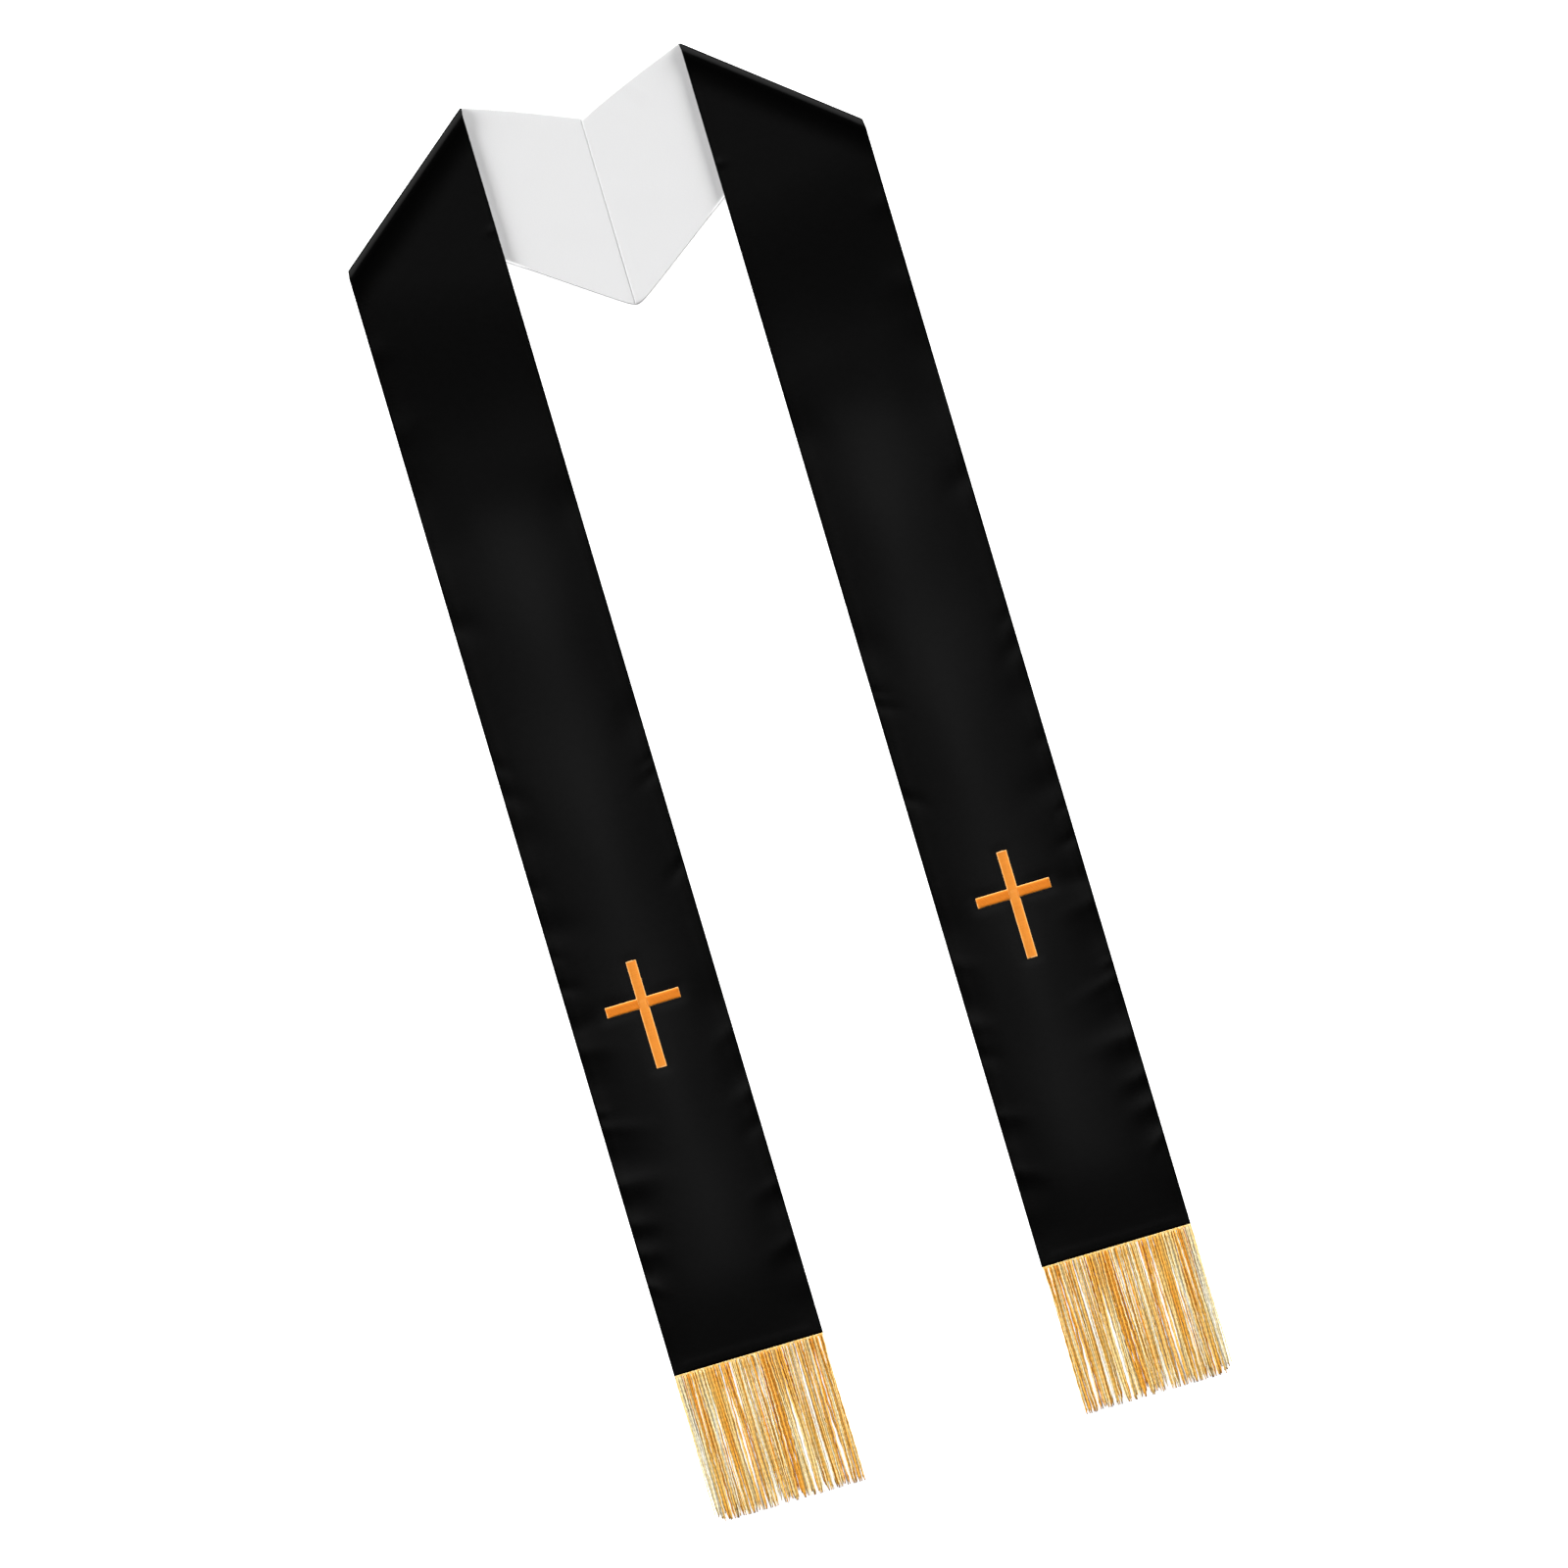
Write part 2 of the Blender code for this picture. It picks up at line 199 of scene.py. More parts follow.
def cross_sink(reach, drop):
    """How far the satin is drawn in at the cross and close around it, by its dense stitching."""
    aside = np.abs(reach - CROSS_MIDDLE)
    up = HEM_DROP - CROSS_ABOVE_HEM - drop
    beside_post = np.maximum(aside - CROSS_BAR / 2, 0)
    past_post = np.maximum(np.abs(up - CROSS_HEIGHT / 2) - CROSS_HEIGHT / 2, 0)
    past_arms = np.maximum(aside - CROSS_WIDTH / 2, 0)
    beside_arms = np.maximum(np.abs(up - CROSS_ARM_LEVEL) - CROSS_BAR / 2, 0)
    away = np.minimum(np.hypot(beside_post, past_post), np.hypot(past_arms, beside_arms))
    return CROSS_SINK * np.exp(-((away / CROSS_SINK_REACH) ** 2))


def lappet_relief(reach, drop):
    """The soft troughs and ridges of a lappet's satin, which fade out at the very edge."""
    from_outer = OUTER_REACH - reach
    from_inner = reach - INNER_REACH
    relief = np.zeros_like(reach)
    for pucker in PUCKERS:
        inward = from_outer if pucker.edge == "outer" else from_inner
        aside = (drop - pucker.drop - pucker.lean * inward) / (pucker.width * (1 + inward / pucker.run / 2))
        fade = 1 - smooth_step(inward / pucker.run)
        relief += pucker.rise * fade * np.exp(-aside * aside)
    for swell in SWELLS:
        across = (from_outer - swell.across * STOLE_WIDTH) / swell.wide
        along = (drop - swell.drop) / swell.long
        relief += swell.rise * np.exp(-across * across - along * along)
    edge_fade = smooth_step(np.minimum(from_outer, from_inner) / SIDE_TURN)
    return relief * edge_fade - cross_sink(reach, drop)


def turned_in(distance, turn, close):
    """How far a pressed edge curves down at a distance from that edge."""
    inside = np.clip(1 - distance / turn, 0, 1)
    return close * (1 - np.sqrt(1 - inside * inside))


def places(length, start_turn, end_turn):
    """Where the points of a row lie: close together in both turned edges, and evenly between them."""
    start = [share * start_turn for share in TURN_SHARES] + list(MARGIN_PLACES)
    end = [length - share * end_turn for share in TURN_SHARES] + [length - place for place in MARGIN_PLACES]
    first, last = start[-1], end[-1]
    count = max(2, round((last - first) / CLOTH_STEP))
    middle = [first + (last - first) * step / count for step in range(1, count)]
    return np.array(start + middle + end[::-1])


def fold_end(edge_reach, edge_drop, inside, top_share, under_slope):
    """Where a line beside the shoulder's fold meets an edge of the cloth."""
    turn = (1 - top_share) / math.tan(SHOULDER_SLOPE + under_slope) - top_share * math.tan(SHOULDER_SLOPE)
    along = inside * turn
    cosine, sine = math.cos(SHOULDER_SLOPE), math.sin(SHOULDER_SLOPE)
    return edge_reach - along * cosine - inside * sine, edge_drop - along * sine + inside * cosine


def cloth_points(side, bury, inset):
    """Every point of one half, as rows from the hem over the shoulder to the centre back.

    side is -1 for the left half and 1 for the right half, whose yoke is the wider one, because the seam
    lies left of the middle. bury(part, reach, drop, from_side, from_hem, from_seam) gives the depth below
    the satin's plain upper side, on the part "lappet", "roll" (at the shoulder) or "yoke". inset is how far
    the cloth stays inside the stole's side edges. The result is reach, drop and height of each point, and
    its place in the flat cloth.
    """
    width = STOLE_WIDTH - 2 * inset
    across_share = (inset + places(width, SIDE_TURN, SIDE_TURN)) / STOLE_WIDTH
    from_side = STOLE_WIDTH * np.minimum(across_share, 1 - across_share) - inset
    across_share = across_share[None, :]
    from_side = from_side[None, :]
    far = np.full((1, 1), STOLE_WIDTH)
    behind = ROLL_RUN / math.cos(SHOULDER_SLOPE)

    # The lappet, from the hem to the shoulder's fold
    hem_to_fold = HEM_DROP - behind
    hem_rows = places(hem_to_fold, SIDE_TURN, SIDE_TURN)
    hem_rows = hem_rows[hem_rows < hem_to_fold - MARGIN_PLACES[-1] / 2]
    hem_rows = np.append(hem_rows, hem_to_fold)[:, None]
    outer_drop = HEM_DROP - hem_rows * (hem_to_fold - SHOULDER_DROP) / hem_to_fold
    inner_drop = HEM_DROP - hem_rows
    reach = OUTER_REACH - STOLE_WIDTH * across_share + 0 * hem_rows
    drop = outer_drop + (inner_drop - outer_drop) * across_share
    depth = bury("lappet", reach, drop, from_side, HEM_DROP - drop, far)
    sections = [(reach, drop, lappet_height(reach, drop) - depth, 0 * reach)]

    # The roll over the shoulder
    angle = np.linspace(0, math.pi, ROLL_STEPS + 1)[1:-1, None]
    depth = bury("roll", reach[-1:], drop[-1:], from_side, far, far) + 0 * angle
    radius = ROLL_RADIUS - depth
    run = np.where(angle < math.pi / 2, ROLL_RUN, ROLL_RADIUS)
    inside = run - (run - depth) * np.sin(angle)
    top_share = (1 + np.cos(angle)) / 2
    outer = fold_end(OUTER_REACH, SHOULDER_DROP, inside, top_share, HIDDEN_EDGE_SLOPE)
    inner = fold_end(INNER_REACH, 0.0, inside, top_share, NECK_EDGE_SLOPE)
    reach = outer[0] + (inner[0] - outer[0]) * across_share
    drop = outer[1] + (inner[1] - outer[1]) * across_share
    sections.append((reach, drop, ROLL_RADIUS + radius * np.cos(angle), ROLL_RADIUS * angle + 0 * reach))

    # The yoke, from under the lappet to the centre back
    lower_start = fold_end(OUTER_REACH, SHOULDER_DROP, ROLL_RADIUS, 0.0, HIDDEN_EDGE_SLOPE)[0]
    upper_start = fold_end(INNER_REACH, 0.0, ROLL_RADIUS, 0.0, NECK_EDGE_SLOPE)[0]
    seam_edge = SEAM_HALF_GAP - side * SEAM_LEFT_OF_MIDDLE
    yoke_length = lower_start - seam_edge
    from_seam = yoke_length - places(yoke_length, SIDE_TURN, SEAM_TURN)
    from_seam = np.append(yoke_length, from_seam[from_seam < yoke_length - CLOTH_STEP])[:, None]
    lower_reach = seam_edge + from_seam
    upper_reach = seam_edge + from_seam * (upper_start - seam_edge) / yoke_length
    lower_drop, upper_drop = lower_edge_drop(lower_reach), upper_edge_drop(upper_reach)
    reach = lower_reach + (upper_reach - lower_reach) * across_share
    drop = lower_drop + (upper_drop - lower_drop) * across_share
    depth = bury("yoke", reach, drop, from_side, far, reach - seam_edge)
    half_turn = math.pi * ROLL_RADIUS
    sections.append((reach, drop, depth + 0 * reach, half_turn + 0 * reach))

    # Each point's place in the flat cloth, turned back about the fold
    reach, drop, height, rolled = (np.concatenate(part) for part in zip(*sections))
    cosine, sine = math.cos(SHOULDER_SLOPE), math.sin(SHOULDER_SLOPE)
    beside = (reach - INNER_REACH) * cosine + drop * sine
    from_fold = drop * cosine - (reach - INNER_REACH) * sine
    unrolled = np.where(rolled == 0, from_fold, 2 * ROLL_RADIUS - rolled - from_fold)
    on_roll = (rolled > 0) & (rolled < half_turn)
    unrolled = np.where(on_roll, ROLL_RADIUS - rolled, unrolled)
    flat_across = STOLE_WIDTH - (beside * cosine - unrolled * sine)
    flat_along = HEM_DROP - (beside * sine + unrolled * cosine)
    return reach, drop, height, flat_across, flat_along


def cloth_piece(name, side, bury, inset, upper_side_out):
    """One cloth of one half as a thin closed shell, which keeps each point's place in the flat cloth."""
    reach, drop, height, flat_across, flat_along = cloth_points(side, bury, inset)
    rows, columns = reach.shape
    points = np.stack([side * reach, SHOULDER_TOP - drop, height], axis=-1).reshape(-1, 3)
    index = np.arange(rows * columns).reshape(rows, columns)
    corners = [index[:-1, :-1], index[:-1, 1:], index[1:, 1:], index[1:, :-1]]
    faces = np.stack(corners, axis=-1).reshape(-1, 4)
    if (side > 0) == upper_side_out:
        faces = faces[:, ::-1]
    mesh = bpy.data.meshes.new(name)
    mesh.from_pydata(points.tolist(), [], faces.tolist())
    place = mesh.attributes.new("cloth_place", "FLOAT_VECTOR", "POINT")
    flat = np.stack([flat_across, flat_along, 0 * flat_across], axis=-1)
    place.data.foreach_set("vector", flat.astype(np.float32).ravel())
    mesh.shade_smooth()
    piece = bpy.data.objects.new(name, mesh)
    bpy.context.scene.collection.objects.link(piece)
    wall = piece.modifiers.new("cloth thickness", "SOLIDIFY")
    wall.thickness = CLOTH_THICKNESS
    wall.offset = -1
    return piece


def satin_depth(part, reach, drop, from_side, from_hem, from_seam):
    """Depth of the satin's outer side: level, with its edges turned in, and with the lappet's relief."""
    depth = turned_in(from_side, SIDE_TURN, SIDE_CLOSE)
    depth = np.maximum(depth, turned_in(from_hem, SIDE_TURN, HEM_CLOSE))
    depth = np.maximum(depth, turned_in(from_seam, SEAM_TURN, SEAM_CLOSE))
    if part != "lappet":
        return depth
    edge = np.minimum(from_side, from_hem)
    pressed = PRESSED_RISE * (1 - smooth_step((edge - PRESSED_WIDTH) / PRESSED_FADE))
    return depth - (lappet_relief(reach, drop) + pressed) * smooth_step(from_hem / SIDE_TURN)


THREAD_DETAIL = 1.5
THREAD_UNEVENNESS = 0.6
THREAD_DEPTH = 0.0001


def thread_lay_group():
    """Shared effect: fine threads along a cloth's second place axis, uneven from thread to thread."""
    group = bpy.data.node_groups.new("thread lay", "ShaderNodeTree")
    group.interface.new_socket("Place", in_out="INPUT", socket_type="NodeSocketVector")
    group.interface.new_socket("Threads per metre", in_out="INPUT", socket_type="NodeSocketFloat")
    group.interface.new_socket("Floats per metre", in_out="INPUT", socket_type="NodeSocketFloat")
    group.interface.new_socket("Threads", in_out="OUTPUT", socket_type="NodeSocketFloat")
    nodes, links = group.nodes, group.links
    start = nodes.new("NodeGroupInput")
    end = nodes.new("NodeGroupOutput")
    scale = nodes.new("ShaderNodeCombineXYZ")
    links.new(start.outputs["Threads per metre"], scale.inputs["X"])
    links.new(start.outputs["Floats per metre"], scale.inputs["Y"])
    stretched = nodes.new("ShaderNodeVectorMath")
    stretched.operation = "MULTIPLY"
    links.new(start.outputs["Place"], stretched.inputs[0])
    links.new(scale.outputs["Vector"], stretched.inputs[1])
    threads = nodes.new("ShaderNodeTexNoise")
    threads.inputs["Scale"].default_value = 1
    threads.inputs["Detail"].default_value = THREAD_DETAIL
    threads.inputs["Roughness"].default_value = THREAD_UNEVENNESS
    links.new(stretched.outputs["Vector"], threads.inputs["Vector"])
    links.new(threads.outputs["Fac"], end.inputs["Threads"])
    return group


thread_lay = thread_lay_group()


def woven_material(name, dark, light, roughness, threads_per_metre, floats_per_metre, relief):
    """A cloth's material: its threads change colour and roughness a little, and stand up a little."""
    material = bpy.data.materials.new(name)
    material.use_nodes = True
    nodes, links = material.node_tree.nodes, material.node_tree.links
    shader = nodes["Principled BSDF"]
    place = nodes.new("ShaderNodeAttribute")
    place.attribute_name = "cloth_place"
    threads = nodes.new("ShaderNodeGroup")
    threads.node_tree = thread_lay
    threads.inputs["Threads per metre"].default_value = threads_per_metre
    threads.inputs["Floats per metre"].default_value = floats_per_metre
    links.new(place.outputs["Vector"], threads.inputs["Place"])
    colour = nodes.new("ShaderNodeMix")
    colour.data_type = "RGBA"
    colour.inputs["A"].default_value = (*dark, 1)
    colour.inputs["B"].default_value = (*light, 1)
    links.new(threads.outputs["Threads"], colour.inputs["Factor"])
    links.new(colour.outputs["Result"], shader.inputs["Base Color"])
    gloss = nodes.new("ShaderNodeMapRange")
    gloss.inputs["To Min"].default_value = roughness[0]
    gloss.inputs["To Max"].default_value = roughness[1]
    links.new(threads.outputs["Threads"], gloss.inputs["Value"])
    links.new(gloss.outputs["Result"], shader.inputs["Roughness"])
    bump = nodes.new("ShaderNodeBump")
    bump.inputs["Strength"].default_value = relief
    bump.inputs["Distance"].default_value = THREAD_DEPTH
    links.new(threads.outputs["Threads"], bump.inputs["Height"])
    links.new(bump.outputs["Normal"], shader.inputs["Normal"])
    return material


SATIN_DARK = (0.0001, 0.0001, 0.0001)
SATIN_LIGHT = (0.0003, 0.0003, 0.0003)
SATIN_ROUGHNESS = (0.20, 0.27)
SATIN_THREADS = 3500
SATIN_FLOATS = 260
SATIN_RELIEF = 0.25
SATIN_SHINE = 0.25
black_satin = woven_material(
    "black_satin",
    SATIN_DARK,
    SATIN_LIGHT,
    SATIN_ROUGHNESS,
    SATIN_THREADS,
    SATIN_FLOATS,
    SATIN_RELIEF,
)
black_satin.node_tree.nodes["Principled BSDF"].inputs["Specular IOR Level"].default_value = SATIN_SHINE

satin_faces = {}
for side_name, side in SIDES:
    face = cloth_piece("satin_" + side_name, side, satin_depth, 0.0, True)
    face.data.materials.append(black_satin)
    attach(face, "root")
    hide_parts("face_" + side_name)
    satin_faces[side] = face

# Linings: the white inner side of each half, cut like its satin face and sewn to it along every edge.
# Plain-woven lustrous polyester lining, a little looser than the satin. It shows on the yoke, where the
# two halves meet in the centre back seam, whose allowance is pressed to the right.
LINING_INSET = 0.00005
LINING_TURN = 0.0007
LINING_CLOSE = 0.0005
ALLOWANCE_WIDTH = 0.0085
ALLOWANCE_FADE = 0.0012
ALLOWANCE_RISE = 0.00018
SAG_REACH = 0.020
SAG = 0.0011
SAG_GROWTH = 0.060
SEAM_ROLL_PLACE = 0.0012
SEAM_ROLL_WIDTH = 0.0008
SEAM_ROLL_RISE = 0.00025

# Faint wrinkles of the yoke's lining; side is -1 for the left half and 1 for the right half
Wrinkle = namedtuple("Wrinkle", "side reach drop turn long wide rise")
WRINKLES = (
    Wrinkle(1, 0.052, 0.030, 55, 0.009, 0.0028, 0.00014),
    Wrinkle(1, 0.043, 0.035, 60, 0.012, 0.0040, -0.00014),
    Wrinkle(1, 0.062, 0.070, 80, 0.026, 0.0080, 0.00010),
    Wrinkle(1, 0.030, 0.110, 20, 0.026, 0.0080, 0.00010),
    Wrinkle(-1, 0.060, 0.022, 85, 0.008, 0.0022, 0.00014),
    Wrinkle(-1, 0.030, 0.034, 70, 0.010, 0.0040, 0.00010),
    Wrinkle(-1, 0.054, 0.060, 60, 0.024, 0.0080, 0.00010),
    Wrinkle(-1, 0.030, 0.120, -25, 0.024, 0.0080, 0.00010),
)


def lining_relief(side, reach, drop, from_seam):
    """The yoke's faint wrinkles, its dip beside the lappet on it, and the right half's seam allowance."""
    growth = smooth_step((drop - upper_edge_drop(reach)) / SAG_GROWTH)
    relief = -SAG * growth * (1 - smooth_step((INNER_REACH - reach) / SAG_REACH))
    for wrinkle in WRINKLES:
        if wrinkle.side != side:
            continue
        turn = math.radians(wrinkle.turn)
        cosine, sine = math.cos(turn), math.sin(turn)
        away, below = reach - wrinkle.reach, drop - wrinkle.drop
        along = (away * cosine + below * sine) / wrinkle.long
        aside = (below * cosine - away * sine) / wrinkle.wide
        relief = relief + wrinkle.rise * np.exp(-along * along - aside * aside)
    if side > 0:
        past_allowance = smooth_step((from_seam - ALLOWANCE_WIDTH) / ALLOWANCE_FADE)
        from_roll = (from_seam - SEAM_ROLL_PLACE) / SEAM_ROLL_WIDTH
        relief = relief + ALLOWANCE_RISE * (1 - past_allowance)
        relief = relief + SEAM_ROLL_RISE * np.exp(-(from_roll**2))
    return relief


def lining_depth(side):
    """Depth of the lining's outer side, for one half."""

    def depth(part, reach, drop, from_side, from_hem, from_seam):
        closed = turned_in(from_side, LINING_TURN, LINING_CLOSE)
        closed = np.maximum(closed, turned_in(from_hem, SIDE_TURN, HEM_CLOSE))
        closed = np.maximum(closed, turned_in(from_seam, SEAM_TURN, SEAM_CLOSE))
        if part == "yoke":
            edge_fade = smooth_step(from_side / SIDE_TURN) * smooth_step(from_seam / SEAM_TURN)
            closed = closed - lining_relief(side, reach, drop, from_seam) * edge_fade
        return PLY - closed

    return depth


LINING_DARK = (0.614, 0.614, 0.617)
LINING_LIGHT = (0.688, 0.688, 0.691)
LINING_ROUGHNESS = (0.48, 0.62)
LINING_THREADS = 2600
LINING_FLOATS = 900
LINING_RELIEF = 0.20
white_lining = woven_material(
    "white_lining",
    LINING_DARK,
    LINING_LIGHT,
    LINING_ROUGHNESS,
    LINING_THREADS,
    LINING_FLOATS,
    LINING_RELIEF,
)

for side_name, side in SIDES:
    lining = cloth_piece("lining_cloth_" + side_name, side, lining_depth(side), LINING_INSET, False)
    lining.data.materials.append(white_lining)
    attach(lining, "root")
    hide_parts("lining_" + side_name)

# Crosses: satin-stitch embroidery in gold rayon thread, one on each lappet.
# The post is stitched straight across in one run and the two arms are stitched on a slant, over a padding
# of the same thread. Each stitch rises from the satin, crosses the bar and dives back into it.
STITCH_PITCH = 0.00040
STITCH_RADIUS = 0.00027
STITCH_RISE = 0.00080
STITCH_SINK = 0.00030
STITCH_RISE_SPREAD = (0.92, 1.05)
STITCH_RADIUS_SPREAD = (0.94, 1.08)
STITCH_ARCH_POWER = 4
STITCH_POINTS = 11
STITCH_SIDES = 5
STITCH_ASIDE = (0.3, 1.0, 0.0)
STITCH_JITTER = 0.00010
STITCH_SEED = 11
STITCH_TURNS = 700
# The next value is the share of painted shade in the hollows between a stitch's plies
STITCH_GROOVE_SHADE = 0.06
STITCH_ROUGHNESS = (0.40, 0.50)
STITCH_RELIEF = 0.3
THREAD_SHINE = 0.30
POST_SLANT = 0.0005
ARM_SLANT = 0.0050
STRAIGHT_SLANT = 0.0023
SHORTEST_STITCH = 0.12
FULL_RISE_STITCH = 0.6
POST_WIDTH = 0.0088
ARM_TUCK = 0.0010
# Painted light on the one gold thread: the post's tone is painted paler for the sheen of its crosswise
# stitches and the arms' darker as their shade; the crossing is painted a little paler still
POST_SHEEN_TONE = 0.45
ARM_SHADE_TONE = 0.14
CROSSING_SHEEN_TONE = 0.52
# Painted highlight: the tone of the stitches' ends along the cross's outline, and of the post's first and
# last stitches
EDGE_HIGHLIGHT_TONE = 0.95
HIGHLIGHTED_EDGE_SHARE = 0.90
HIGHLIGHTED_END_STITCHES = 3
TONE_SPREAD = 0.06


def tubes(name, paths, radii, sides, aside, tones):
    """Many threads as one mesh. paths is threads x points x 3, and no path follows the direction aside.

    Each point keeps how far along its thread it lies, its tone, and its place round the thread.
    """
    runs = np.gradient(paths, axis=1)
    runs /= np.linalg.norm(runs, axis=-1, keepdims=True)
    aside = np.asarray(aside, float)
    first = aside - (runs @ aside)[..., None] * runs
    first /= np.linalg.norm(first, axis=-1, keepdims=True)
    second = np.cross(runs, first)
    turn = 2 * math.pi * np.arange(sides) / sides
    cosine, sine = np.cos(turn), np.sin(turn)
    ring = cosine[:, None] * first[:, :, None] + sine[:, None] * second[:, :, None]
    points = paths[:, :, None] + radii[:, :, None, None] * ring
    count, steps = radii.shape
    index = np.arange(count * steps * sides).reshape(count, steps, sides)
    after = np.roll(index, -1, axis=2)
    corners = [index[:, :-1], after[:, :-1], after[:, 1:], index[:, 1:]]
    quads = np.stack(corners, axis=-1).reshape(-1, 4)
    faces = quads.tolist() + index[:, 0, ::-1].tolist() + index[:, -1].tolist()
    mesh = bpy.data.meshes.new(name)
    mesh.from_pydata(points.reshape(-1, 3).tolist(), [], faces)
    lengths = np.linalg.norm(np.diff(paths, axis=1), axis=-1)
    along = np.concatenate([np.zeros((count, 1)), np.cumsum(lengths, axis=1)], axis=1)
    kept = (("thread_place", along[..., None], tones[..., None]), ("thread_round", cosine, sine))
    for attribute_name, *parts in kept:
        x, y = (np.broadcast_to(values, index.shape) for values in parts)
        attribute = mesh.attributes.new(attribute_name, "FLOAT_VECTOR", "POINT")
        attribute.data.foreach_set("vector", np.stack([x, y, 0 * y], axis=-1).astype(np.float32).ravel())
    mesh.shade_smooth()
    piece = bpy.data.objects.new(name, mesh)
    bpy.context.scene.collection.objects.link(piece)
    return piece


def stitched_bar(start, run, width, slant, tone, chance):
    """The stitches of one bar, cut off square at its ends. It starts at a point and runs along one axis."""
    start, run = np.asarray(start), np.asarray(run)
    length = np.linalg.norm(run)
    ahead = run / length
    across = np.array([ahead[1], -ahead[0]])
    count = round((length + slant) / STITCH_PITCH)
    spread = np.sin(np.linspace(-math.pi / 2, math.pi / 2, STITCH_POINTS))
    paths, radii, tones = [], [], []
    for number in range(count):
        middle = (number + 0.5) / count * (length + slant) - slant / 2
        first = max(-1, (STITCH_RADIUS - middle) / (slant / 2))
        last = min(1, (length - STITCH_RADIUS - middle) / (slant / 2))
        if last - first < SHORTEST_STITCH:
            continue
        share = first + (last - first) * (spread + 1) / 2
        half = width / 2 - STITCH_RADIUS + chance.uniform(-1, 1) * STITCH_JITTER
        line = start + (middle + share[:, None] * slant / 2) * ahead + share[:, None] * half * across
        reach, drop = line[:, 0], SHOULDER_TOP - line[:, 1]
        cloth = lappet_height(reach, drop) + lappet_relief(reach, drop)
        arch = np.sqrt(np.clip(1 - spread**STITCH_ARCH_POWER, 0, 1))
        lift = chance.uniform(*STITCH_RISE_SPREAD) * STITCH_RISE * min(1, (last - first) / FULL_RISE_STITCH)
        paths.append(np.column_stack([line, cloth + lift * arch - STITCH_SINK * (1 - arch)]))
        radii.append(np.full(STITCH_POINTS, STITCH_RADIUS * chance.uniform(*STITCH_RADIUS_SPREAD)))
        # Painted highlight on the post's first and last stitches and on both ends of every stitch
        highlighted_end = slant < STRAIGHT_SLANT and not HIGHLIGHTED_END_STITCHES <= number < count - HIGHLIGHTED_END_STITCHES
        own_tone = (EDGE_HIGHLIGHT_TONE if highlighted_end else tone) + chance.uniform(-TONE_SPREAD, TONE_SPREAD)
        from_middle = np.abs(middle + share * slant / 2 - length / 2)
        highlighted_edge = (np.abs(share) > HIGHLIGHTED_EDGE_SHARE) | (from_middle > length / 2 - 2 * STITCH_RADIUS)
        tones.append(np.where(highlighted_edge, EDGE_HIGHLIGHT_TONE, own_tone))
    return paths, radii, tones


def thread_twist_group():
    """Shared effect: the twist of a thread, as a stripe that winds round it."""
    group = bpy.data.node_groups.new("thread twist", "ShaderNodeTree")
    group.interface.new_socket("Along", in_out="INPUT", socket_type="NodeSocketFloat")
    group.interface.new_socket("Round", in_out="INPUT", socket_type="NodeSocketVector")
    group.interface.new_socket("Turns", in_out="INPUT", socket_type="NodeSocketFloat")
    group.interface.new_socket("Twist", in_out="OUTPUT", socket_type="NodeSocketFloat")
    nodes, links = group.nodes, group.links
    start = nodes.new("NodeGroupInput")
    end = nodes.new("NodeGroupOutput")
    turned = nodes.new("ShaderNodeMath")
    turned.operation = "MULTIPLY"
    links.new(start.outputs["Along"], turned.inputs[0])
    links.new(start.outputs["Turns"], turned.inputs[1])
    circle = nodes.new("ShaderNodeCombineXYZ")
    for operation, axis in (("SINE", "X"), ("COSINE", "Y")):
        wave = nodes.new("ShaderNodeMath")
        wave.operation = operation
        links.new(turned.outputs["Value"], wave.inputs[0])
        links.new(wave.outputs["Value"], circle.inputs[axis])
    stripe = nodes.new("ShaderNodeVectorMath")
    stripe.operation = "DOT_PRODUCT"
    links.new(circle.outputs["Vector"], stripe.inputs[0])
    links.new(start.outputs["Round"], stripe.inputs[1])
    spread = nodes.new("ShaderNodeMapRange")
    spread.inputs["From Min"].default_value = -1
    links.new(stripe.outputs["Value"], spread.inputs["Value"])
    links.new(spread.outputs["Result"], end.inputs["Twist"])
    return group


thread_twist = thread_twist_group()


